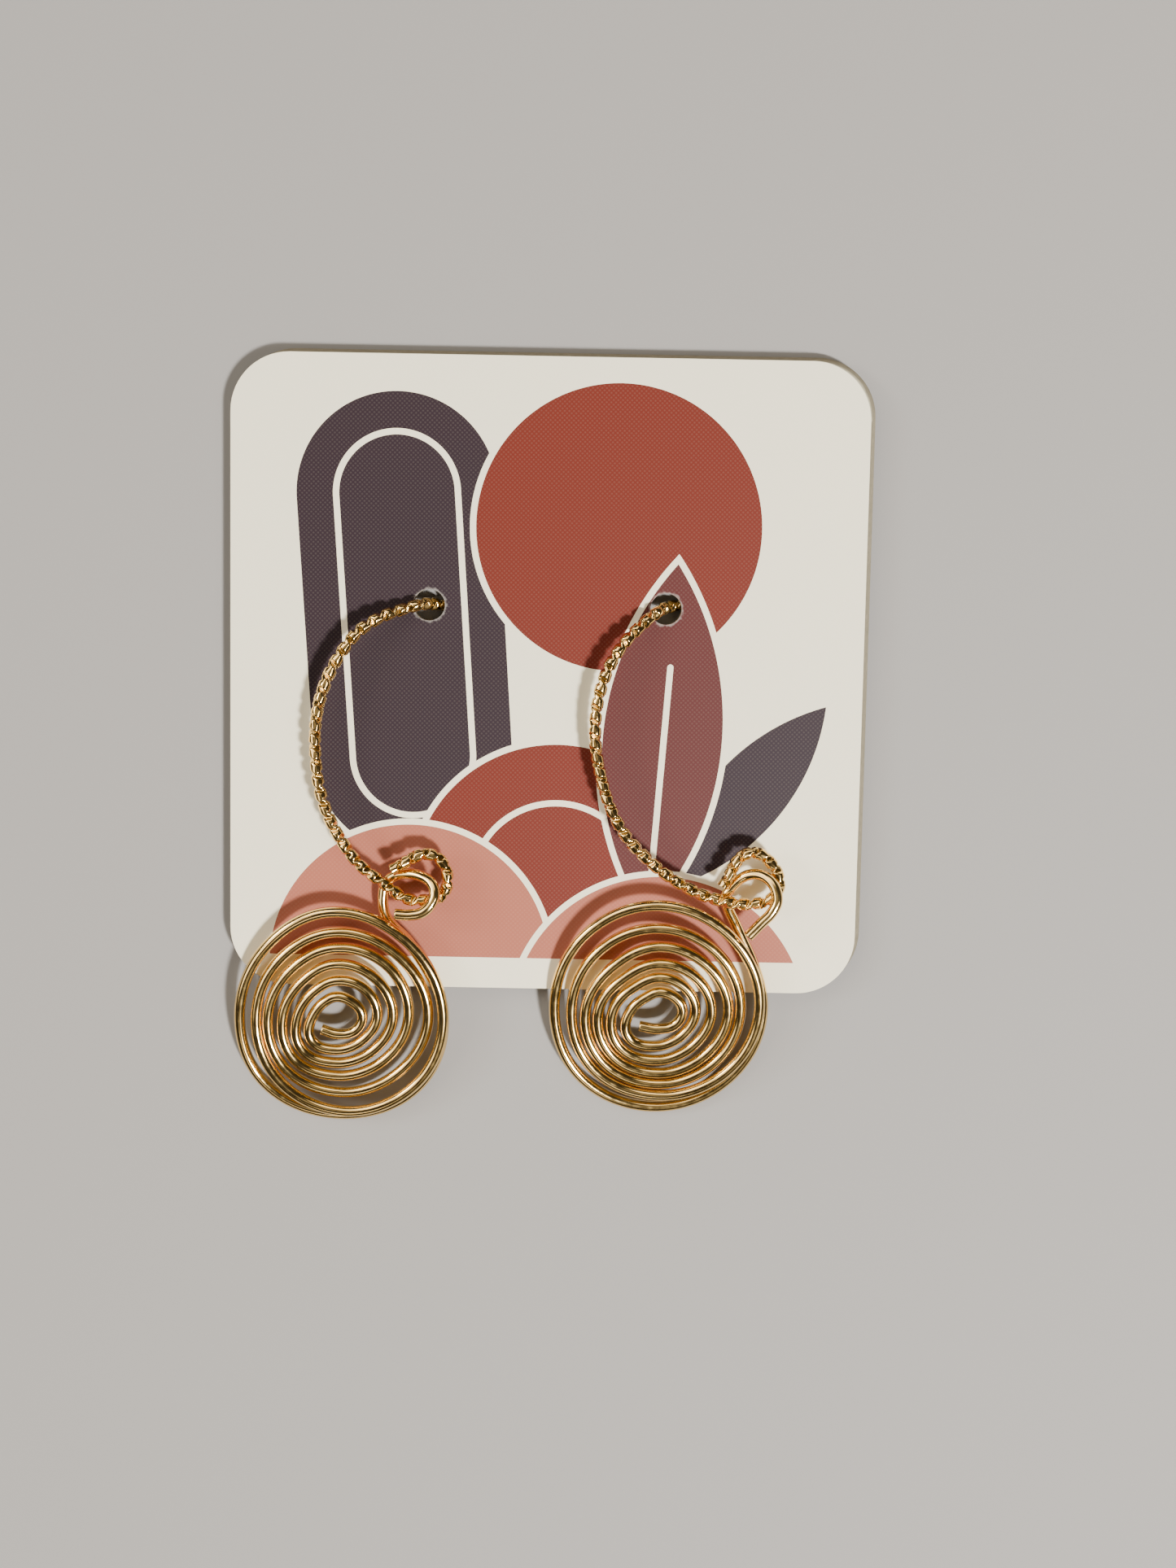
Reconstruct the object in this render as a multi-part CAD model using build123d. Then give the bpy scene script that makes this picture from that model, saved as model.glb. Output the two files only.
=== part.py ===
from build123d import *
import math
import os

# A pair of wire earrings on the square card that they are sold on, lying face up on a table.
# Millimetres. +X is to the right across the card's face, +Y to its top edge, +Z up off the face.
# The origin is under the middle of the whole, on the table.

# Wire: the patterned ear wires are a little thicker than the plain wire of the drops
hook_wire_d = 1.0
coil_wire_d = 0.9

# Height that one wire gains by lying over the other kind
layer = (hook_wire_d + coil_wire_d) / 2

# Gaps: between the card and the legs under it, and between a wire and the face it lies over
touch_gap = 0.04
rest_gap = 0.15

# Card: a die-cut square of board whose cut edge slants out towards the back
card_side = 50.8
card_thick = 0.8
card_corner_r = 4.7
cut_slant_x = 0.45
cut_slant_y = 0.35

# Holes in the card, one for each ear wire
hole_d = 2.5
hole_spacing = 18.95
hole_from_top = 19.75

# Ear wires, from the hole to the crossing, where the ear wire lies over the drop's eye
hook_drop = 23.0
loop_size = 4.6

# Drops: a flat coil with its wire's outer end bent up into an eye
eye_size = 4.0
coil_hole_r = 1.7
left_coil_stand = 3.05
right_coil_stand = 1.75
left_eye_bearing = 70.0
right_eye_bearing = 60.3

# Share of the shorter run that a bend takes up
bend_share = 0.45

# Rise of the bend's middle where an ear wire leaves the table for its hole, in wire thicknesses
heel_rise = 0.19

# The card lies on the hidden legs of the ear wires
card_bottom = hook_wire_d + touch_gap
card_top = card_bottom + card_thick
hole_y = card_side / 2 - hole_from_top

# Front of each ear wire, from the hole round the bow to the crossing.
# Columns: across, up (shares of hook_drop from the hole), lift (layers of wire over the card).
LEFT_BOW = [
    (-0.082, -0.015, 0.85),
    (-0.170, -0.049, 1.60),
    (-0.238, -0.097, 2.00),
    (-0.296, -0.172, 2.25),
    (-0.351, -0.283, 2.36),
    (-0.380, -0.410, 2.40),
    (-0.380, -0.535, 2.40),
    (-0.355, -0.680, 2.42),
    (-0.303, -0.797, 2.40),
    (-0.228, -0.900, 2.38),
    (-0.136, -0.970, 2.33),
]
RIGHT_BOW = [
    (-0.088, -0.059, 1.40),
    (-0.146, -0.121, 1.95),
    (-0.200, -0.212, 2.26),
    (-0.233, -0.330, 2.38),
    (-0.238, -0.450, 2.40),
    (-0.218, -0.572, 2.40),
    (-0.179, -0.692, 2.42),
    (-0.118, -0.795, 2.40),
    (-0.035, -0.878, 2.40),
    (0.060, -0.946, 2.38),
    (0.150, -0.990, 2.36),
    (0.229, -1.010, 2.33),
]

# Loop that carries the drop, from the crossing round to the ear wire's cut tip.
# Columns: across, up (shares of loop_size from the crossing), lift (layers of wire over the card).
LEFT_LOOP = [
    (0.41, -0.265, 2.17),
    (0.74, -0.275, 2.00),
    (1.00, -0.180, 2.00),
    (1.08, 0.090, 2.06),
    (1.02, 0.345, 2.06),
    (0.86, 0.500, 2.06),
    (0.62, 0.520, 2.08),
    (0.37, 0.400, 2.15),
    (0.10, 0.240, 2.38),
]
RIGHT_LOOP = [
    (0.20, -0.035, 2.22),
    (0.50, -0.035, 2.05),
    (0.77, 0.040, 2.00),
    (0.91, 0.240, 2.04),
    (0.89, 0.480, 2.06),
    (0.76, 0.690, 2.06),
    (0.53, 0.850, 2.06),
    (0.30, 0.825, 2.06),
    (0.15, 0.680, 2.10),
    (0.05, 0.470, 2.17),
    (-0.075, 0.255, 2.28),
]

# Hidden leg behind the card, from its end up to the hole: it lies on the table.
# Columns: across, up (shares of hook_drop from the hole).
LEFT_LEG = [
    (0.275, -0.900),
    (0.285, -0.680),
    (0.283, -0.440),
    (0.262, -0.230),
    (0.205, -0.085),
    (0.120, -0.012),
]
RIGHT_LEG = [
    (0.400, -0.830),
    (0.393, -0.600),
    (0.372, -0.380),
    (0.322, -0.180),
    (0.235, -0.045),
    (0.130, 0.018),
]

# Eye of each drop, from the leg that leaves the coil round to the cut end.
# Columns: across, up (shares of eye_size from the crossing), lift (layers of wire over the card).
LEFT_EYE = [
    (-0.035, -0.640, 1.08),
    (-0.065, -0.250, 1.20),
    (0.000, 0.005, 1.28),
    (0.200, 0.145, 1.36),
    (0.460, 0.195, 1.68),
    (0.720, 0.165, 2.20),
    (0.920, 0.060, 2.72),
    (1.005, -0.160, 3.08),
    (0.930, -0.370, 3.22),
    (0.760, -0.530, 3.22),
    (0.520, -0.585, 3.15),
    (0.220, -0.580, 3.05),
]
RIGHT_EYE = [
    (0.595, -1.300, 0.93),
    (0.385, -0.850, 1.06),
    (0.205, -0.480, 1.17),
    (0.045, -0.140, 1.25),
    (0.005, 0.080, 1.29),
    (0.110, 0.250, 1.42),
    (0.260, 0.420, 1.60),
    (0.440, 0.535, 1.88),
    (0.650, 0.560, 2.28),
    (0.850, 0.460, 2.75),
    (0.975, 0.260, 3.06),
    (0.995, 0.030, 3.20),
    (0.900, -0.170, 3.20),
    (0.700, -0.390, 3.14),
    (0.445, -0.670, 3.05),
]

# Coils, wound outwards and counter-clockwise from the lower left, eight places to a turn.
# FIRST holds the inmost turn as shares of coil_hole_r, and each row of STEPS how far the next
# turn lies outside the last one, in wire thicknesses.
# Columns: lower left, bottom, lower right, right, upper right, top, upper left, left.
FIRST_ANGLE = 226.0
PLACES = 8
LEFT_FIRST = [1.08, 1.00, 1.18, 1.21, 0.96, 0.88, 0.84, 1.10]
LEFT_STEPS = [
    [1.39, 1.51, 1.13, 1.40, 1.72, 1.53, 1.34, 1.43],
    [1.29, 1.26, 1.35, 1.40, 1.42, 1.53, 1.40, 1.39],
    [1.18, 1.26, 1.35, 1.44, 1.64, 1.53, 1.47, 1.36],
    [1.26, 1.59, 1.73, 1.77, 1.38, 1.48, 1.38, 1.09],
    [1.12, 1.68, 1.83, 1.38, 1.62, 1.95, 1.65, 1.51],
    [1.43, 0.59, 0.42, -0.04, -0.15],
]
RIGHT_FIRST = [1.25, 1.02, 1.15, 1.16, 0.95, 0.84, 0.81, 1.23]
RIGHT_STEPS = [
    [1.42, 1.65, 1.18, 1.20, 1.35, 1.39, 1.42, 1.65],
    [1.24, 1.38, 1.41, 1.45, 1.35, 1.31, 1.27, 1.33],
    [1.08, 1.26, 1.42, 1.51, 1.53, 1.61, 1.47, 1.22],
    [1.09, 1.07, 1.15, 1.10, 1.47, 1.71, 1.94, 1.30],
    [1.10, 1.07, 1.28, 1.64, 1.95, 2.18, 1.94, 1.55],
    [1.38, 1.26, 0.85, 0.40],
]

# The last stretch slips under the outmost turn on its way to the eye, so the two part company
# there: how far each lies off the coil's plane, in wire thicknesses, at the same places.
LEFT_OVER = [0.30, 0.52, 0.53, 0.53, 0.53, 0.40, 0.15, 0.00]
LEFT_UNDER = [-0.50, -0.54, -0.54, -0.54, -0.54]
RIGHT_OVER = [0.05, 0.25, 0.48, 0.53, 0.53, 0.35, 0.10, 0.00]
RIGHT_UNDER = [-0.10, -0.40, -0.52, -0.54]
under_drop = -min(LEFT_UNDER + RIGHT_UNDER) * coil_wire_d


def bend_radius(before, corner, after):
    """Radius of the widest arc that the shorter of a corner's two runs has room for."""
    half_turn = math.radians((corner - before).get_angle(after - corner)) / 2
    run = min((corner - before).length, (after - corner).length)
    return bend_share * run / math.tan(half_turn)


def corners_through(points):
    """Corners set out past the points, so that the rounded bends pass through them."""
    corners = list(points)
    for _ in range(4):
        moved = list(corners)
        for i in range(1, len(points) - 1):
            before, corner, after = corners[i - 1 : i + 2]
            half_turn = math.radians((corner - before).get_angle(after - corner)) / 2
            inward = ((before - corner).normalized() + (after - corner).normalized()).normalized()
            bulge = bend_radius(before, corner, after) * (1 / math.cos(half_turn) - 1)
            moved[i] = points[i] - inward * bulge
        corners = moved
    return corners


def wire_route(points):
    """Straight runs joined by tangent arcs, passing through the points."""
    corners = corners_through([Vector(*point) for point in points])
    radii = [bend_radius(*corners[i - 1 : i + 2]) for i in range(1, len(corners) - 1)]
    print(f"{len(corners)} points, least bend radius {min(radii):.2f} mm")
    return FilletPolyline(*corners, radius=radii)


def bent_wire(points, wire_d):
    """A round wire bent along the points."""
    route = wire_route(points)
    wire = sweep(Plane(origin=route @ 0, z_dir=route % 0) * Circle(wire_d / 2), path=route)
    expected = math.pi * wire_d**2 / 4 * route.length
    print(f"wire of {route.length:.1f} mm, volume {wire.volume:.2f} of {expected:.2f} mm3")
    return wire


def above_card(lift):
    """Height of a wire's middle that lies so many layers of wire over the card's face."""
    return card_top + lift * layer


def placed(rows, size, x, y):
    """Points of a table of across, up and lift that is measured from x, y."""
    return [(x + across * size, y + up * size, above_card(lift)) for across, up, lift in rows]


def crossing(bow, hole_x):
    """Where an ear wire lies over the leg of its drop's eye."""
    across, up, _ = bow[-1]
    return hole_x + across * hook_drop, hole_y + up * hook_drop


def ear_hook(leg, bow, loop, hole_x):
    """Ear wire: hidden leg, slanting passage through the card, bow and the drop's loop."""
    on_table = hook_wire_d / 2
    on_card = card_top + hook_wire_d / 2 + rest_gap
    heading = Vector(bow[0][0] - leg[-1][0], bow[0][1] - leg[-1][1]).normalized()
    half_passage = heading * (hole_d - hook_wire_d) / 2
    heel = on_table + heel_rise * hook_wire_d
    points = [(hole_x + across * hook_drop, hole_y + up * hook_drop, on_table) for across, up in leg]
    points.append((hole_x - half_passage.X, hole_y - half_passage.Y, heel))
    points.append((hole_x + half_passage.X, hole_y + half_passage.Y, on_card))
    points += placed(bow, hook_drop, hole_x, hole_y)
    points += placed(loop, loop_size, *crossing(bow, hole_x))
    return bent_wire(points, hook_wire_d)


def turn_radii(first, steps):
    """Radii of the wire's middle at each place of each turn, from the inmost turn out."""
    turns = [[share * coil_hole_r for share in first]]
    for row in steps:
        turns.append([turns[-1][i] + step * coil_wire_d for i, step in enumerate(row)])
    return turns


def coil_height(x, y, centre_y, rim_r, rim_drop):
    """Height of a coil's plane at x, y from its middle.

    A coil whose middle is past the card's bottom edge tips on that edge until its rim meets the
    table, with its right side higher by the wire that runs under it there. One whose middle is
    on the card lies flat on it."""
    edge_y = -card_side / 2 - centre_y
    on_card = card_top + coil_wire_d / 2 + rest_gap
    if edge_y <= 0:
        return on_card + under_drop
    lean = under_drop / (2 * rim_r)
    edge_height = on_card + under_drop / 2
    rim_height = coil_wire_d / 2 + rim_drop
    tip = (edge_height - rim_height) / (edge_y + rim_r)
    return edge_height + lean * x + tip * (y - edge_y)


def coil_drop(first, steps, over, under, eye, bearing, stand, bow, hole_x):
    """Drop: one wire, coiled flat from the middle out and ending in the eye that hangs it."""
    cross_x, cross_y = crossing(bow, hole_x)
    turns = turn_radii(first, steps)
    rim_r = turns[-1][1]
    top_r = turns[-2][5]
    centre_x = cross_x - (top_r + stand) * math.cos(math.radians(bearing))
    centre_y = cross_y - (top_r + stand) * math.sin(math.radians(bearing))
    offsets = [[0] * PLACES] * (len(turns) - 2) + [over, under]
    points = []
    for radii, raised in zip(turns, offsets):
        for place, radius in enumerate(radii):
            angle = math.radians(FIRST_ANGLE + place * 360 / PLACES)
            x = radius * math.cos(angle)
            y = radius * math.sin(angle)
            plane_height = coil_height(x, y, centre_y, rim_r, -under[1] * coil_wire_d)
            points.append((centre_x + x, centre_y + y, plane_height + raised[place] * coil_wire_d))
    points += placed(eye, eye_size, cross_x, cross_y)
    return bent_wire(points, coil_wire_d)


def display_card():
    """Square board with rounded corners, a slanting cut edge and two punched holes."""
    outline = RectangleRounded(card_side, card_side, card_corner_r)
    slant = (cut_slant_x, cut_slant_y, -card_thick)
    face = Pos(0, 0, card_top) * outline
    board = extrude(face, amount=Vector(*slant).length, dir=slant)
    for hole_x in (-hole_spacing / 2, hole_spacing / 2):
        board -= Pos(hole_x, hole_y, card_top) * Cylinder(hole_d / 2, 4 * card_thick)
    return board


pieces = {
    "display_card": display_card(),
    "ear_hook_left": ear_hook(LEFT_LEG, LEFT_BOW, LEFT_LOOP, -hole_spacing / 2),
    "ear_hook_right": ear_hook(RIGHT_LEG, RIGHT_BOW, RIGHT_LOOP, hole_spacing / 2),
    "coil_drop_left": coil_drop(
        LEFT_FIRST, LEFT_STEPS, LEFT_OVER, LEFT_UNDER,
        LEFT_EYE, left_eye_bearing, left_coil_stand, LEFT_BOW, -hole_spacing / 2,
    ),
    "coil_drop_right": coil_drop(
        RIGHT_FIRST, RIGHT_STEPS, RIGHT_OVER, RIGHT_UNDER,
        RIGHT_EYE, right_eye_bearing, right_coil_stand, RIGHT_BOW, hole_spacing / 2,
    ),
}

# The whole stands on its lowest point, with the origin under the middle of its box
box = Compound(list(pieces.values())).bounding_box()
to_origin = Pos(-box.center().X, -box.center().Y, -box.min.Z)
print(f"moved by {-box.center().X:.3f}, {-box.center().Y:.3f}, {-box.min.Z:.3f}")

os.makedirs("parts", exist_ok=True)
for name, piece in pieces.items():
    export_step(to_origin * piece, f"parts/{name}.step")
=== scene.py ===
"""A pair of wire earrings on their display card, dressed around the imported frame."""

import math

import bmesh
import bpy
from mathutils import Matrix, Vector


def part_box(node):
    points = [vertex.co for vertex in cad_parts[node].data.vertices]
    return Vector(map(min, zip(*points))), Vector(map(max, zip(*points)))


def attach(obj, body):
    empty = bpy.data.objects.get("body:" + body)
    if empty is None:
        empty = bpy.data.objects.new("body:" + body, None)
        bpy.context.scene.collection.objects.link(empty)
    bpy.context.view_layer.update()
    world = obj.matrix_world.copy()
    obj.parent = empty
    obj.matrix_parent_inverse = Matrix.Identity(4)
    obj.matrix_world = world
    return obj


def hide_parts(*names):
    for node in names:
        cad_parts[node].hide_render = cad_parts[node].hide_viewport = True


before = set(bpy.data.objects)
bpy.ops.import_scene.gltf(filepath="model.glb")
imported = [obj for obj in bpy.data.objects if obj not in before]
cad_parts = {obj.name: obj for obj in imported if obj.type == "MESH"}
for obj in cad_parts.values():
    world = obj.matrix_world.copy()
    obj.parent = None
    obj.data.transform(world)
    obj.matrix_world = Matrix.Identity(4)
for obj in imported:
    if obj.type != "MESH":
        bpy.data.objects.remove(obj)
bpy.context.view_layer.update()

# Camera: a lens held 16 cm above the card and tilted a few degrees. Sizes below are in millimetres,
# counted across and up from the card's middle, whose place comes from the frame, and from the table.
MM = 0.001
CARD_SIDE = 50.8
CARD_THICK = 0.8
HOOK_WIRE = 1.0
TOUCH_GAP = 0.04
CARD_TOP = HOOK_WIRE + TOUCH_GAP + CARD_THICK
card_low, card_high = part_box("display_card")
CARD_MIDDLE = Vector(
    (card_low.x / MM + CARD_SIDE / 2, card_low.y / MM + CARD_SIDE / 2, card_high.z / MM - CARD_TOP)
)

# Long side of the sensor, long side of the picture and the lens in pixels, the point aimed at, its
# distance, the camera's turns in degrees, and how near in metres it begins to see
SENSOR = 36
LONG_SIDE = 1927
FOCAL = 2500
AIM = Vector((3.489, -8.535, CARD_TOP))
DISTANCE = 164.271
TILTS = (("X", -5.984), ("Y", 0.036), ("Z", 1.058))
NEAREST = 0.01

tilt = Matrix()
for axis, degrees in TILTS:
    tilt = tilt @ Matrix.Rotation(math.radians(degrees), 4, axis)
camera = bpy.data.objects.new("camera", bpy.data.cameras.new("camera"))
camera.data.sensor_width = SENSOR
camera.data.lens = SENSOR * FOCAL / LONG_SIDE
camera.data.clip_start = NEAREST
eye = CARD_MIDDLE + AIM + tilt.to_3x3().col[2] * DISTANCE
camera.matrix_world = Matrix.Translation(eye * MM) @ tilt
bpy.context.scene.collection.objects.link(camera)
bpy.context.scene.camera = camera


# Display card: a die-cut square of coated board, printed on its face with flat shapes. Its cut
# edge slants out towards the back and shows the grey-brown core of the board.
HOLE_SIZE = 2.5
HOLE_SPACING = 18.95
HOLE_FROM_TOP = 19.75
HOLE_UP = CARD_SIDE / 2 - HOLE_FROM_TOP
EDGE_ROUND = 0.09
EDGE_ANGLE = 40
WELD_GAP = 0.002

AUBERGINE = "#25181E"
TERRACOTTA = "#5D1E12"
MAROON = "#491E1C"
SALMON = "#945542"

# Printed shapes in the order of printing, each a core box grown by a radius: a disc where the box
# is a point, an arch where it is long, a leaf where its width is below zero. No ink is a bare line.
# Columns: across, up, half width and half height of the core, radius, turn, ink.
PRINTED_SHAPES = [
    (-11.4, 4.0, 0.0, 10.5, 8.0, 4, AUBERGINE),
    (-11.4, 4.0, 0.0, 10.5, 4.6, 4, None),
    (5.6, 12.0, 0.0, 0.0, 11.4, 0, TERRACOTTA),
    (1.0, -22.0, 0.0, 5.0, 11.6, 0, TERRACOTTA),
    (1.0, -22.0, 0.0, 5.0, 6.6, 0, None),
    (16.2, -9.5, -14.6, 0.0, 17.6, -40, AUBERGINE),
    (9.4, -5.0, -18.8, 0.0, 23.6, -4, MAROON),
    (9.3, -8.0, 0.0, 9.0, -0.25, -4, None),
    (-10.8, -23.5, 0.0, 0.0, 11.4, 0, SALMON),
    (9.6, -28.0, 0.0, 0.0, 12.0, 0, SALMON),
]
PRINT_BOTTOM = -22.9
WHITE_LINE = 0.5

# Halftone dots, drawn at 0.26 mm, coarser than the real ones, so that they show. A wave texture's
# bands are 0.314 long at a scale of 1.
DOT_PITCH = 0.26
DOT_ANGLE = 45
WAVE_BAND = 0.314
INK_THINNING = 0.035


def linear(colour):
    """Linear red, green, blue and alpha of an sRGB hex colour."""
    channels = [int(colour[i : i + 2], 16) / 255 for i in (1, 3, 5)]
    return [c / 12.92 if c <= 0.04045 else ((c + 0.055) / 1.055) ** 2.4 for c in channels] + [1]


def add_node(tree, kind, inputs, **settings):
    """Adds a shader node with its settings, and sets or links its inputs by name or number."""
    made = tree.nodes.new("ShaderNode" + kind)
    for name, value in settings.items():
        setattr(made, name, value)
    for name, value in inputs.items():
        if isinstance(value, bpy.types.NodeSocket):
            tree.links.new(value, made.inputs[name])
        else:
            made.inputs[name].default_value = value
    return made


def new_material(name):
    """A material with an empty node tree."""
    material = bpy.data.materials.new(name)
    material.use_nodes = True
    material.node_tree.nodes.clear()
    return material, material.node_tree


# Coated board: warm white paper under a thin clear coat gives a soft sheen, the ink lies flat in
# it, and the punch leaves pale scuffs round the holes. The back is plain, in nearly the same white.
PAPER = linear("#DED5BB")
BACK = linear("#DDD2BC")
SCUFF = linear("#C1B9AF")
CORE_DARK = linear("#57503F")
CORE_LIGHT = linear("#A2977F")
FACE_ROUGHNESS = 0.48
EDGE_ROUGHNESS = 0.95
SHEEN = 0.15

coated_board, tree = new_material("coated_board")
place = add_node(
    tree,
    "Mapping",
    {
        "Vector": add_node(tree, "TexCoord", {}).outputs["Object"],
        "Location": [-value for value in CARD_MIDDLE],
        "Scale": [1 / MM] * 3,
    },
).outputs[0]
dots = add_node(tree, "Value", {}).outputs[0]
dots.default_value = 1
for degrees in (DOT_ANGLE, -DOT_ANGLE):
    slanted = add_node(
        tree, "VectorRotate", {"Vector": place, "Angle": math.radians(degrees)}, rotation_type="Z_AXIS"
    ).outputs[0]
    wave = add_node(tree, "TexWave", {"Vector": slanted, "Scale": WAVE_BAND / DOT_PITCH}).outputs[1]
    dots = add_node(tree, "Math", {0: dots, 1: wave}, operation="MULTIPLY").outputs[0]
thinned = add_node(tree, "Math", {0: dots, 1: INK_THINNING}, operation="MULTIPLY").outputs[0]

colour = add_node(tree, "RGB", {}).outputs[0]
colour.default_value = PAPER
flat_place = add_node(tree, "VectorMath", {0: place, 1: (1, 1, 0)}, operation="MULTIPLY").outputs[0]
for across, up, core_width, core_height, radius, degrees, ink in PRINTED_SHAPES:
    paint = colour
    if ink:
        paint = add_node(
            tree, "Mix", {0: thinned, 6: linear(ink), 7: PAPER}, data_type="RGBA"
        ).outputs[2]
    vector = add_node(
        tree, "VectorMath", {0: flat_place, 1: (across, up, 0)}, operation="SUBTRACT"
    ).outputs[0]
    vector = add_node(
        tree, "VectorRotate", {"Vector": vector, "Angle": -math.radians(degrees)}, rotation_type="Z_AXIS"
    ).outputs[0]
    for operation, operand in (
        ("ABSOLUTE", (0, 0, 0)),
        ("SUBTRACT", (core_width, core_height, 0)),
        ("MAXIMUM", (0, 0, 0)),
    ):
        vector = add_node(tree, "VectorMath", {0: vector, 1: operand}, operation=operation).outputs[0]
    reach = add_node(tree, "VectorMath", {0: vector}, operation="LENGTH").outputs["Value"]
    for limit, layer in ((radius + WHITE_LINE, PAPER), (radius, paint)):
        inside = add_node(tree, "Math", {0: reach, 1: limit}, operation="LESS_THAN").outputs[0]
        colour = add_node(tree, "Mix", {0: inside, 6: colour, 7: layer}, data_type="RGBA").outputs[2]

along = add_node(tree, "SeparateXYZ", {0: place}).outputs
margin = add_node(tree, "Math", {0: along["Y"], 1: PRINT_BOTTOM}, operation="LESS_THAN").outputs[0]
colour = add_node(tree, "Mix", {0: margin, 6: colour, 7: PAPER}, data_type="RGBA").outputs[2]

# Scuffs fade out over two tenths of a millimetre at a hole's rim, and fine noise moves them out by
# up to their spread
SCUFF_GRAIN = 2.6
SCUFF_SPREAD = 0.6
SCUFF_FULL = HOLE_SIZE / 2 - 0.32
SCUFF_GONE = HOLE_SIZE / 2 - 0.12
SCUFF_SHARE = 0.32
grain = add_node(tree, "TexNoise", {"Vector": place, "Scale": SCUFF_GRAIN, "Detail": 4.0}).outputs[0]
for hole_x in (-HOLE_SPACING / 2, HOLE_SPACING / 2):
    apart = add_node(
        tree, "VectorMath", {0: flat_place, 1: (hole_x, HOLE_UP, 0)}, operation="DISTANCE"
    ).outputs["Value"]
    ragged = add_node(
        tree, "Math", {0: grain, 1: -SCUFF_SPREAD, 2: apart}, operation="MULTIPLY_ADD"
    ).outputs[0]
    worn = add_node(
        tree, "MapRange", {0: ragged, 1: SCUFF_FULL, 2: SCUFF_GONE, 3: SCUFF_SHARE, 4: 0.0}
    ).outputs[0]
    colour = add_node(tree, "Mix", {0: worn, 6: colour, 7: SCUFF}, data_type="RGBA").outputs[2]

# Cut edge: thin layers of grey-brown fibre, seen wherever the surface turns away from the face, by
# the upward share of its normal. It is rough, and the face has only a trace of the same relief.
FIBRE_SCALE = 1.8
FIBRE_LAYERS = (1, 1, 6)
CUT_BELOW = 0.55
FACE_ABOVE = 0.75
FACE_RELIEF = 0.04
CUT_RELIEF = 0.9
RELIEF_DEPTH = 0.05
layers = add_node(tree, "VectorMath", {0: place, 1: FIBRE_LAYERS}, operation="MULTIPLY").outputs[0]
fibres = add_node(
    tree, "TexNoise", {"Vector": layers, "Scale": FIBRE_SCALE, "Detail": 5.0, "Roughness": 0.7}
).outputs[0]
core = add_node(tree, "Mix", {0: fibres, 6: CORE_DARK, 7: CORE_LIGHT}, data_type="RGBA").outputs[2]
facing = add_node(
    tree, "SeparateXYZ", {0: add_node(tree, "NewGeometry", {}).outputs["Normal"]}
).outputs["Z"]
behind = add_node(tree, "Math", {0: facing, 1: 0.0}, operation="LESS_THAN").outputs[0]
colour = add_node(tree, "Mix", {0: behind, 6: colour, 7: BACK}, data_type="RGBA").outputs[2]
upward = add_node(tree, "Math", {0: facing}, operation="ABSOLUTE").outputs[0]
cut = add_node(tree, "MapRange", {0: upward, 1: CUT_BELOW, 2: FACE_ABOVE, 3: 1.0, 4: 0.0}).outputs[0]
colour = add_node(tree, "Mix", {0: cut, 6: colour, 7: core}, data_type="RGBA").outputs[2]
roughness = add_node(
    tree, "MapRange", {0: cut, 1: 0.0, 2: 1.0, 3: FACE_ROUGHNESS, 4: EDGE_ROUGHNESS}
).outputs[0]
relief = add_node(tree, "MapRange", {0: cut, 1: 0, 2: 1, 3: FACE_RELIEF, 4: CUT_RELIEF}).outputs[0]
bump = add_node(
    tree, "Bump", {"Strength": relief, "Distance": RELIEF_DEPTH * MM, "Height": fibres}
).outputs[0]
shader = add_node(
    tree,
    "BsdfPrincipled",
    {"Base Color": colour, "Roughness": roughness, "Specular IOR Level": SHEEN, "Normal": bump},
)
add_node(tree, "OutputMaterial", {"Surface": shader.outputs[0]})

# The blade rounds the rim of the board and of its holes a little
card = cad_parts["display_card"]
card.data.materials.clear()
card.data.materials.append(coated_board)
weld = card.modifiers.new("one_skin", "WELD")
weld.merge_threshold = WELD_GAP * MM
rounded = card.modifiers.new("rounded_rim", "BEVEL")
rounded.width = EDGE_ROUND * MM
rounded.segments = 2
rounded.limit_method = "ANGLE"
rounded.angle_limit = math.radians(EDGE_ANGLE)


# Ear wires: gold-coloured brass wire, diamond-cut all along with flat facets and slanting nicks.
# Each runs from its hidden leg behind the card through a hole, round the bow and into a loop.
HOOK_DROP = 23.0
LOOP_SIZE = 4.6
COIL_WIRE = 0.9

# A layer of wire, the gap left under wire that lies over the card, and how far a leg has risen, in
# wire thicknesses, where it enters its hole
LAYER = (HOOK_WIRE + COIL_WIRE) / 2
REST_GAP = 0.15
HEEL_RISE = 0.19

# Columns: across, up (shares of the drop or the loop), lift (layers of wire over the card).
LEFT_LEG = [
    (0.275, -0.900),
    (0.285, -0.680),
    (0.283, -0.440),
    (0.262, -0.230),
    (0.205, -0.085),
    (0.120, -0.012),
]
RIGHT_LEG = [
    (0.400, -0.830),
    (0.393, -0.600),
    (0.372, -0.380),
    (0.322, -0.180),
    (0.235, -0.045),
    (0.130, 0.018),
]
LEFT_BOW = [
    (-0.082, -0.015, 0.85),
    (-0.170, -0.049, 1.60),
    (-0.238, -0.097, 2.00),
    (-0.296, -0.172, 2.25),
    (-0.351, -0.283, 2.36),
    (-0.380, -0.410, 2.40),
    (-0.380, -0.535, 2.40),
    (-0.355, -0.680, 2.42),
    (-0.303, -0.797, 2.40),
    (-0.228, -0.900, 2.38),
    (-0.136, -0.970, 2.33),
]
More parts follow.
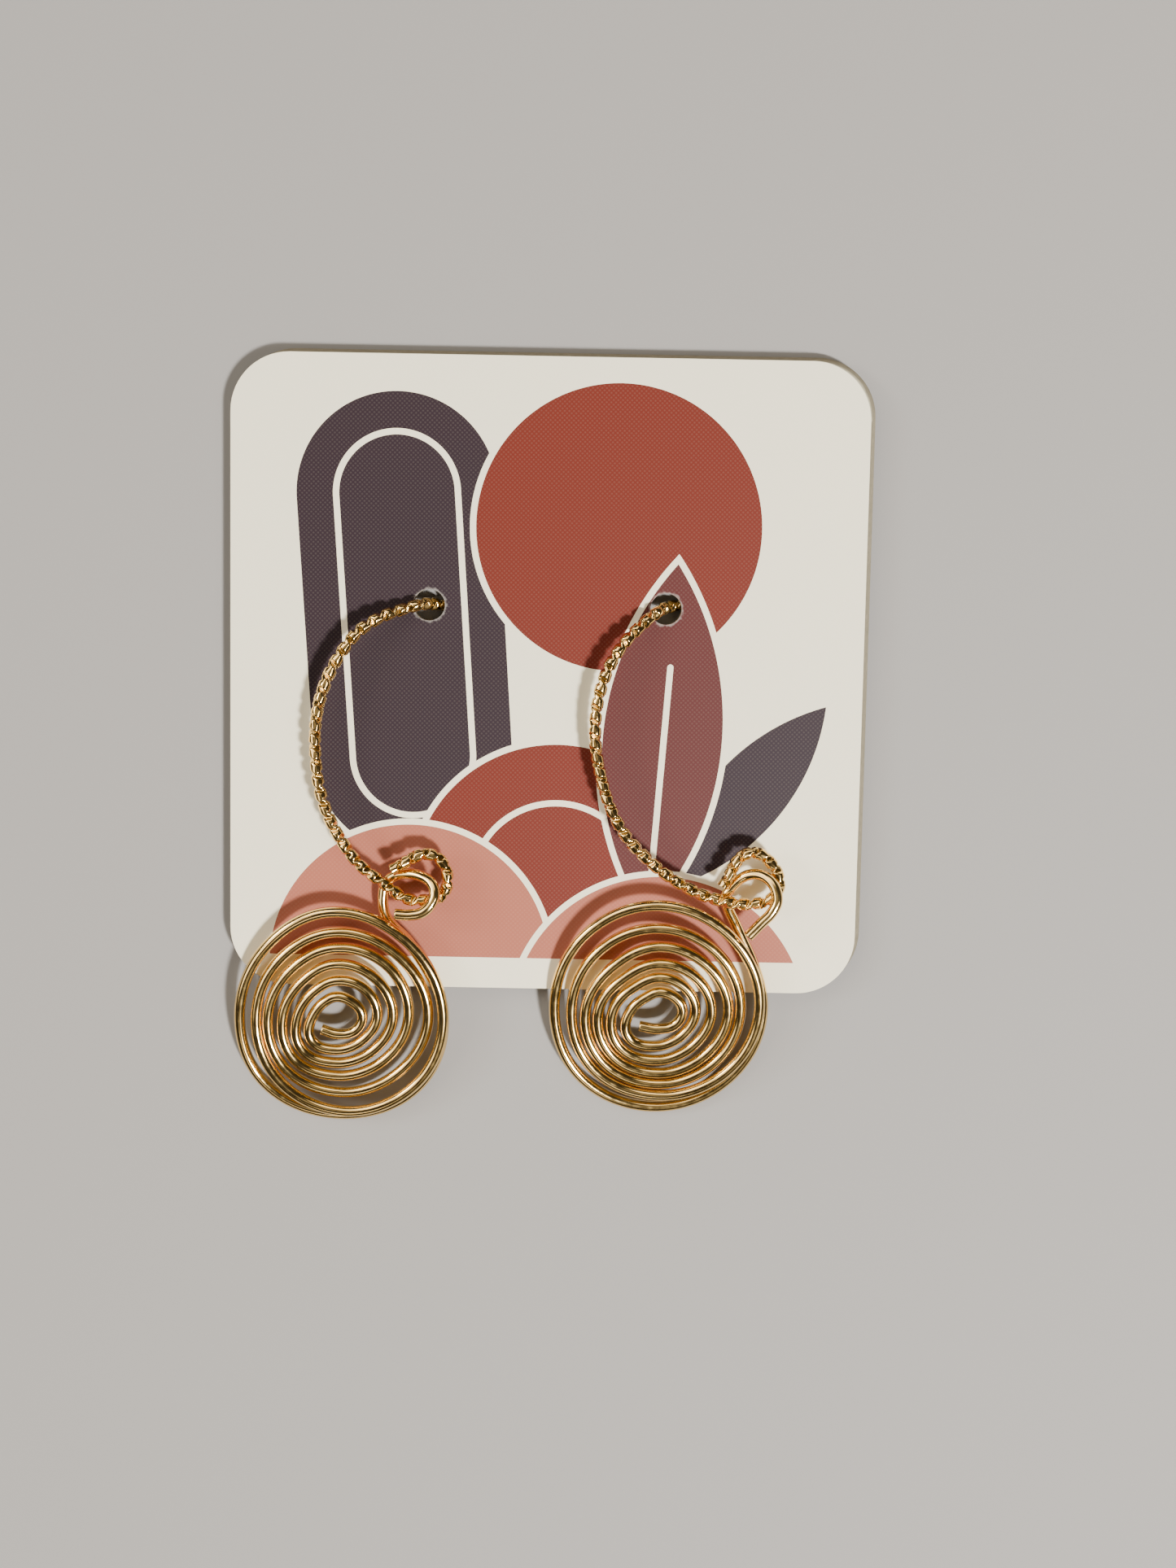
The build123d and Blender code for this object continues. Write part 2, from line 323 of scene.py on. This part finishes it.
RIGHT_BOW = [
    (-0.088, -0.059, 1.40),
    (-0.146, -0.121, 1.95),
    (-0.200, -0.212, 2.26),
    (-0.233, -0.330, 2.38),
    (-0.238, -0.450, 2.40),
    (-0.218, -0.572, 2.40),
    (-0.179, -0.692, 2.42),
    (-0.118, -0.795, 2.40),
    (-0.035, -0.878, 2.40),
    (0.060, -0.946, 2.38),
    (0.150, -0.990, 2.36),
    (0.229, -1.010, 2.33),
]
LEFT_LOOP = [
    (0.41, -0.265, 2.17),
    (0.74, -0.275, 2.00),
    (1.00, -0.180, 2.00),
    (1.08, 0.090, 2.06),
    (1.02, 0.345, 2.06),
    (0.86, 0.500, 2.06),
    (0.62, 0.520, 2.08),
    (0.37, 0.400, 2.15),
    (0.10, 0.240, 2.38),
]
RIGHT_LOOP = [
    (0.20, -0.035, 2.22),
    (0.50, -0.035, 2.05),
    (0.77, 0.040, 2.00),
    (0.91, 0.240, 2.04),
    (0.89, 0.480, 2.06),
    (0.76, 0.690, 2.06),
    (0.53, 0.850, 2.06),
    (0.30, 0.825, 2.06),
    (0.15, 0.680, 2.10),
    (0.05, 0.470, 2.17),
    (-0.075, 0.255, 2.28),
]


def placed(rows, size, x, y):
    """Points of a table of across, up and lift that is measured from x, y."""
    return [(x + across * size, y + up * size, CARD_TOP + lift * LAYER) for across, up, lift in rows]


def crossing(bow, hole_x):
    """Where an ear wire lies over the leg of its drop's eye."""
    return hole_x + bow[-1][0] * HOOK_DROP, HOLE_UP + bow[-1][1] * HOOK_DROP


def ear_wire_points(leg, bow, loop, hole_x):
    """Points of an ear wire's middle, from the hidden leg to the cut tip of its loop."""
    heading = Vector((bow[0][0] - leg[-1][0], bow[0][1] - leg[-1][1])).normalized()
    half_passage = heading * (HOLE_SIZE - HOOK_WIRE) / 2
    low = HOOK_WIRE / 2
    high = CARD_TOP + HOOK_WIRE / 2 + REST_GAP
    points = [(hole_x + across * HOOK_DROP, HOLE_UP + up * HOOK_DROP, low) for across, up in leg]
    points.append((hole_x - half_passage.x, HOLE_UP - half_passage.y, low + HEEL_RISE * HOOK_WIRE))
    points.append((hole_x + half_passage.x, HOLE_UP + half_passage.y, high))
    points += placed(bow, HOOK_DROP, hole_x, HOLE_UP)
    return points + placed(loop, LOOP_SIZE, *crossing(bow, hole_x))


# A stretch bends like a circle where each handle is this share of its chord, over one plus the
# cosine of half its turn
ARC_HANDLE = 2 / 3


def drawn_wire(name, points, thickness, sides, steps):
    """Mesh object of a round wire through the points, each stretch a near-circular arc."""
    places = [(Vector(point) + CARD_MIDDLE) * MM for point in points]
    curve = bpy.data.curves.new(name, "CURVE")
    curve.dimensions = "3D"
    curve.bevel_depth = thickness / 2 * MM
    curve.bevel_resolution = sides // 2 - 2
    curve.resolution_u = steps
    spline = curve.splines.new("BEZIER")
    spline.bezier_points.add(len(places) - 1)
    for i, knot in enumerate(spline.bezier_points):
        before = places[i] - places[i - 1] if i else places[1] - places[0]
        after = places[i + 1] - places[i] if i + 1 < len(places) else before
        tangent = before.normalized() * after.length + after.normalized() * before.length
        tangent.normalize()
        knot.co = places[i]
        knot.handle_left_type = knot.handle_right_type = "FREE"
        knot.handle_left = places[i] - tangent * before.length * ARC_HANDLE / (
            1 + tangent.dot(before.normalized())
        )
        knot.handle_right = places[i] + tangent * after.length * ARC_HANDLE / (
            1 + tangent.dot(after.normalized())
        )
    drawn = bpy.data.objects.new(name, curve)
    skin = bpy.data.meshes.new_from_object(drawn)
    bpy.data.objects.remove(drawn)
    wire = bpy.data.objects.new(name, skin)
    bpy.context.scene.collection.objects.link(wire)
    return wire


def cap_ends(wire):
    """Closes the cut ends of a wire and turns its faces outwards."""
    shape = bmesh.new()
    shape.from_mesh(wire.data)
    bmesh.ops.holes_fill(shape, edges=[edge for edge in shape.edges if edge.is_boundary])
    bmesh.ops.recalc_face_normals(shape, faces=shape.faces)
    shape.to_mesh(wire.data)
    shape.free()


# Cuts of the pattern, all flat and worked out bead by bead. A bead has six flats along it, each
# pitched like a roof tile, and V nicks that enter it from opposite sides and then, further along,
# from the other two. Lengths are in millimetres, the drift in degrees and depths in shares of the
# wire's radius. Columns of a nick: degrees round the wire, share of the bead along it.
BEAD = 1.12
BEAD_DRIFT = 8
FLATS = 6
FLAT_LIMIT = 0.95
FLAT_PITCH = 0.22
NICKS = [(40, 0.0), (220, 0.0), (130, 0.26), (310, 0.26)]
NICK_HALF = 0.27
NICK_DEPTH = 0.58
NICK_SLANT = 0.12
CUT_SIDES = 24
CUT_STEPS = 50


def cut_share(travelled, around):
    """Share of the radius left by the cuts at a length along the wire and an angle round it."""
    share = 1
    bead = math.floor(travelled / BEAD)
    for nearby in (bead - 1, bead, bead + 1):
        drift = math.radians(nearby * BEAD_DRIFT)
        for degrees, place in NICKS:
            turned = around - drift - math.radians(degrees)
            away = travelled + NICK_SLANT * math.sin(turned) - (nearby + place) * BEAD
            nicked = 1 - NICK_DEPTH * (1 - abs(away) / NICK_HALF)
            share = min(share, nicked / max(math.cos(turned), 0.01))
    turned = around - math.radians(bead * BEAD_DRIFT)
    off_flat = (turned + math.pi / FLATS) % (2 * math.pi / FLATS) - math.pi / FLATS
    pitch = FLAT_PITCH * (travelled / BEAD - bead - 0.5)
    return min(share, (FLAT_LIMIT + pitch) / math.cos(off_flat))


def diamond_cut(wire):
    """Draws the rings of a round wire in to the flat cuts of its pattern."""
    vertices = wire.data.vertices
    travelled = 0
    last_middle = None
    for start in range(0, len(vertices), CUT_SIDES):
        ring = [vertices[i] for i in range(start, start + CUT_SIDES)]
        middle = sum((vertex.co for vertex in ring), Vector()) / CUT_SIDES
        travelled += (middle - last_middle).length / MM if last_middle else 0
        last_middle = middle
        for i, vertex in enumerate(ring):
            share = cut_share(travelled, 2 * math.pi * i / CUT_SIDES)
            vertex.co = middle + (vertex.co - middle) * share


# Handling marks about 0.6 mm apart, over which the polish goes from a little smoother than its
# roughness to half as rough again
MARK_SCALE = 1 / (0.6 * MM)
MARK_SMOOTH = 0.7
MARK_ROUGH = 1.5


def metal(name, colour, roughness):
    """A gold-coloured metal with faint handling marks in its polish."""
    finish, tree = new_material(name)
    place = add_node(tree, "TexCoord", {}).outputs["Object"]
    marks = add_node(tree, "TexNoise", {"Vector": place, "Scale": MARK_SCALE, "Detail": 4.0}).outputs[0]
    uneven = add_node(
        tree,
        "MapRange",
        {0: marks, 1: 0.3, 2: 0.7, 3: roughness * MARK_SMOOTH, 4: roughness * MARK_ROUGH},
    ).outputs[0]
    shader = add_node(
        tree,
        "BsdfPrincipled",
        {"Base Color": linear(colour), "Metallic": 1.0, "Roughness": uneven},
    )
    add_node(tree, "OutputMaterial", {"Surface": shader.outputs[0]})
    return finish


# Bare brass as the diamond tool leaves it: each flat is a small mirror, so pale flashes stand
# beside dark cuts all along the wire
cut_wire = metal("diamond_cut_brass_wire", colour="#EFC87F", roughness=0.10)

for side, leg, bow, loop, across in (
    ("left", LEFT_LEG, LEFT_BOW, LEFT_LOOP, -1),
    ("right", RIGHT_LEG, RIGHT_BOW, RIGHT_LOOP, 1),
):
    points = ear_wire_points(leg, bow, loop, across * HOLE_SPACING / 2)
    wire = drawn_wire(f"ear_wire_{side}", points, HOOK_WIRE, CUT_SIDES, CUT_STEPS)
    diamond_cut(wire)
    cap_ends(wire)
    wire.data.materials.append(cut_wire)
    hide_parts(f"ear_hook_{side}")
    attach(wire, "root")


# Coils: smooth polished brass wire, wound flat by hand from the middle out. The outer end slips
# under the outmost turn and is bent up into the eye that hangs on the ear wire's loop.
EYE_SIZE = 4.0
COIL_HOLE_R = 1.7
COIL_SIDES = 20
COIL_STEPS = 14

# A coil's radii are given at eight places, counter-clockwise from this angle at the lower left. The
# bottom comes next, and the top four places on.
FIRST_ANGLE = 226.0
PLACES = 8
BOTTOM = 1
TOP = 5

# Direction in degrees from a coil's middle to where its eye's leg lies under the ear wire, and how
# much further out that is than the top of the outmost turn
LEFT_BEARING = 70.0
LEFT_STAND = 3.05
RIGHT_BEARING = 60.3
RIGHT_STAND = 1.75

# Columns: across, up (shares of the eye's size), lift (layers of wire over the card).
LEFT_EYE = [
    (-0.035, -0.640, 1.08),
    (-0.065, -0.250, 1.20),
    (0.000, 0.005, 1.28),
    (0.200, 0.145, 1.36),
    (0.460, 0.195, 1.68),
    (0.720, 0.165, 2.20),
    (0.920, 0.060, 2.72),
    (1.005, -0.160, 3.08),
    (0.930, -0.370, 3.22),
    (0.760, -0.530, 3.22),
    (0.520, -0.585, 3.15),
    (0.220, -0.580, 3.05),
]
RIGHT_EYE = [
    (0.595, -1.300, 0.93),
    (0.385, -0.850, 1.06),
    (0.205, -0.480, 1.17),
    (0.045, -0.140, 1.25),
    (0.005, 0.080, 1.29),
    (0.110, 0.250, 1.42),
    (0.260, 0.420, 1.60),
    (0.440, 0.535, 1.88),
    (0.650, 0.560, 2.28),
    (0.850, 0.460, 2.75),
    (0.975, 0.260, 3.06),
    (0.995, 0.030, 3.20),
    (0.900, -0.170, 3.20),
    (0.700, -0.390, 3.14),
    (0.445, -0.670, 3.05),
]

# Inmost turn in shares of the coil's hole, and steps outwards in wire thicknesses, at the places:
# lower left, bottom, lower right, right, upper right, top, upper left, left.
LEFT_FIRST = [1.08, 1.00, 1.18, 1.21, 0.96, 0.88, 0.84, 1.10]
LEFT_STEPS = [
    [1.39, 1.51, 1.13, 1.40, 1.72, 1.53, 1.34, 1.43],
    [1.29, 1.26, 1.35, 1.40, 1.42, 1.53, 1.40, 1.39],
    [1.18, 1.26, 1.35, 1.44, 1.64, 1.53, 1.47, 1.36],
    [1.26, 1.59, 1.73, 1.77, 1.38, 1.48, 1.38, 1.09],
    [1.12, 1.68, 1.83, 1.38, 1.62, 1.95, 1.65, 1.51],
    [1.43, 0.59, 0.42, -0.04, -0.15],
]
RIGHT_FIRST = [1.25, 1.02, 1.15, 1.16, 0.95, 0.84, 0.81, 1.23]
RIGHT_STEPS = [
    [1.42, 1.65, 1.18, 1.20, 1.35, 1.39, 1.42, 1.65],
    [1.24, 1.38, 1.41, 1.45, 1.35, 1.31, 1.27, 1.33],
    [1.08, 1.26, 1.42, 1.51, 1.53, 1.61, 1.47, 1.22],
    [1.09, 1.07, 1.15, 1.10, 1.47, 1.71, 1.94, 1.30],
    [1.10, 1.07, 1.28, 1.64, 1.95, 2.18, 1.94, 1.55],
    [1.38, 1.26, 0.85, 0.40],
]

# How far the last turn and the stretch under it lie off the coil's plane, in wire thicknesses
LEFT_OVER = [0.30, 0.52, 0.53, 0.53, 0.53, 0.40, 0.15, 0.00]
LEFT_UNDER = [-0.50, -0.54, -0.54, -0.54, -0.54]
RIGHT_OVER = [0.05, 0.25, 0.48, 0.53, 0.53, 0.35, 0.10, 0.00]
RIGHT_UNDER = [-0.10, -0.40, -0.52, -0.54]
UNDER_DROP = -min(LEFT_UNDER + RIGHT_UNDER) * COIL_WIRE


def coil_points(first, steps, over, under, eye, bearing, stand, bow, hole_x):
    """Points of a drop's wire, from the coil's middle out and round its eye."""
    cross_x, cross_y = crossing(bow, hole_x)
    turns = [[share * COIL_HOLE_R for share in first]]
    for row in steps:
        turns.append([turns[-1][i] + step * COIL_WIRE for i, step in enumerate(row)])
    rim = turns[-1][BOTTOM]
    reach = turns[-2][TOP] + stand
    centre_x = cross_x - reach * math.cos(math.radians(bearing))
    centre_y = cross_y - reach * math.sin(math.radians(bearing))
    edge = -CARD_SIDE / 2 - centre_y
    edge_height = CARD_TOP + COIL_WIRE / 2 + REST_GAP + UNDER_DROP / 2
    rim_height = COIL_WIRE / 2 - under[BOTTOM] * COIL_WIRE
    tip = (edge_height - rim_height) / (edge + rim)
    offsets = [[0] * PLACES] * (len(turns) - 2) + [over, under]
    points = []
    for radii, raised in zip(turns, offsets):
        for place, radius in enumerate(radii):
            angle = math.radians(FIRST_ANGLE + place * 360 / PLACES)
            x = radius * math.cos(angle)
            y = radius * math.sin(angle)
            height = edge_height + UNDER_DROP / (2 * rim) * x + tip * (y - edge)
            points.append((centre_x + x, centre_y + y, height + raised[place] * COIL_WIRE))
    return points + placed(eye, EYE_SIZE, cross_x, cross_y)


# Drawn and buffed brass: long clean bands of light run round each turn, with dark lines between
polished_wire = metal("polished_brass_wire", colour="#F1CB82", roughness=0.12)

LEFT_COIL = (LEFT_FIRST, LEFT_STEPS, LEFT_OVER, LEFT_UNDER)
RIGHT_COIL = (RIGHT_FIRST, RIGHT_STEPS, RIGHT_OVER, RIGHT_UNDER)
for side, across, coil, eye, bearing, stand, bow in (
    ("left", -1, LEFT_COIL, LEFT_EYE, LEFT_BEARING, LEFT_STAND, LEFT_BOW),
    ("right", 1, RIGHT_COIL, RIGHT_EYE, RIGHT_BEARING, RIGHT_STAND, RIGHT_BOW),
):
    points = coil_points(*coil, eye, bearing, stand, bow, across * HOLE_SPACING / 2)
    wire = drawn_wire(f"coil_{side}", points, COIL_WIRE, COIL_SIDES, COIL_STEPS)
    cap_ends(wire)
    wire.data.shade_smooth()
    wire.data.materials.append(polished_wire)
    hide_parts(f"coil_drop_{side}")
    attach(wire, "root")


# Floor and light: a plain pale table and soft studio light, strongest from the lower right, which
# throws the short shadows of the wires up and to the left. Places and sizes are in metres.
FLOOR_SIDE = 3
bpy.ops.mesh.primitive_plane_add(size=FLOOR_SIDE, location=(0, 0, 0))
floor = bpy.context.object
floor.name = "floor"
floor_paint, tree = new_material("pale_floor")
shader = add_node(tree, "BsdfPrincipled", {"Base Color": linear("#86827D"), "Roughness": 0.8})
add_node(tree, "OutputMaterial", {"Surface": shader.outputs[0]})
floor.data.materials.append(floor_paint)

for name, spot, size, power in (
    ("key", (0.26, -0.23, 0.56), 0.07, 11.0),
    ("window", (-0.48, 0.13, 0.33), 0.14, 1.3),
):
    lamp = bpy.data.lights.new(name, "AREA")
    lamp.size = size
    lamp.energy = power
    light = bpy.data.objects.new(name, lamp)
    light.location = spot
    light.rotation_euler = (-Vector(spot)).to_track_quat("-Z", "Y").to_euler()
    bpy.context.scene.collection.objects.link(light)

# The room is dim and warm, with a few bright panels round the top that bright metal shows as pale
# bands. Columns: direction of a panel, degrees from its middle to its edge and past it, strength.
ROOM_COLOUR = (0.96, 0.89, 0.77, 1)
ROOM_DIM = 0.045
PANELS = [
    ((-0.05, 0.08, 0.99), 10, 14, 0.32),
    ((0.02, 0.66, 0.75), 7, 18, 2.6),
    ((-0.48, 0.48, 0.73), 10, 22, 4.2),
    ((-0.70, -0.10, 0.71), 7, 19, 3.8),
    ((0.60, -0.16, 0.78), 3, 7, 12),
    ((0.34, -0.56, 0.76), 8, 24, 0.3),
    ((-0.16, -0.70, 0.69), 4, 9, 2.2),
    ((0.42, -0.48, 0.77), 3, 6, 14),
]
world = bpy.data.worlds.new("studio")
world.use_nodes = True
tree = world.node_tree
looking = add_node(tree, "TexCoord", {}).outputs["Generated"]
glow = add_node(tree, "Value", {}).outputs[0]
glow.default_value = ROOM_DIM
for direction, full, faded, strength in PANELS:
    towards = add_node(
        tree, "VectorMath", {0: looking, 1: Vector(direction).normalized()}, operation="DOT_PRODUCT"
    ).outputs["Value"]
    edges = {1: math.cos(math.radians(faded)), 2: math.cos(math.radians(full))}
    panel = add_node(tree, "MapRange", {0: towards, **edges, 3: 0, 4: strength}).outputs[0]
    glow = add_node(tree, "Math", {0: glow, 1: panel}, operation="ADD").outputs[0]
background = tree.nodes["Background"]
background.inputs["Color"].default_value = ROOM_COLOUR
tree.links.new(glow, background.inputs["Strength"])
bpy.context.scene.world = world
